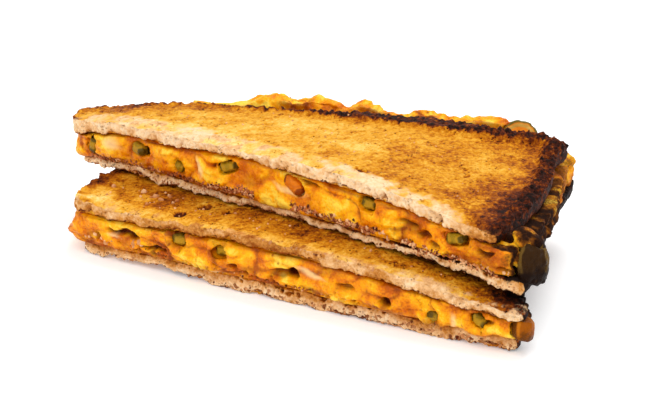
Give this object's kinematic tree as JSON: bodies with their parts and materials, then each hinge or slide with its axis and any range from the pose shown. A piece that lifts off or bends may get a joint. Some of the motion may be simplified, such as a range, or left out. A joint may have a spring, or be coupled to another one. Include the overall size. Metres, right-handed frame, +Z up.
{
  "type": "grilled cheese sandwich",
  "caption": "Toasted cheese sandwich cut corner to corner into wedge halves that lie stacked, melted cheese with pepper pieces between thin browned slices; lies flat to be served.",
  "frame": {"origin": "on the surface the sandwich lies on, under the middle of its bounding box", "axes": "+X along the cut of the lower half, towards its thick crust end; +Z up; the cuts face -Y"},
  "size_m": [0.1838, 0.0956, 0.0401],
  "materials": {
    "toast": "pressed toast: golden brown dry crust with dark grain and charred rims, pale open crumb where it is cut",
    "cheese": "melted orange cheese, oily and glossy, with yellow folds, pale streaks and browned edges",
    "green_pepper": "cooked green pepper, olive, wet and slightly translucent",
    "red_pepper": "cooked red pepper, red brown, wet"
  },
  "bodies": {
    "root": {"lower_bottom_toast": "toast", "lower_cheese": "cheese", "lower_top_toast": "toast", "upper_bottom_toast": "toast", "upper_cheese": "cheese", "upper_top_toast": "toast", "green_pepper_1": "green_pepper", "green_pepper_2": "green_pepper", "green_pepper_3": "green_pepper", "green_pepper_4": "green_pepper", "green_pepper_5": "green_pepper", "green_pepper_6": "green_pepper", "green_pepper_7": "green_pepper", "green_pepper_8": "green_pepper", "green_pepper_9": "green_pepper", "green_pepper_10": "green_pepper", "pepper_slice_side": "green_pepper", "pepper_slice_back": "green_pepper", "pepper_slice_end": "green_pepper", "red_pepper": "red_pepper"}
  },
  "joints": []
}
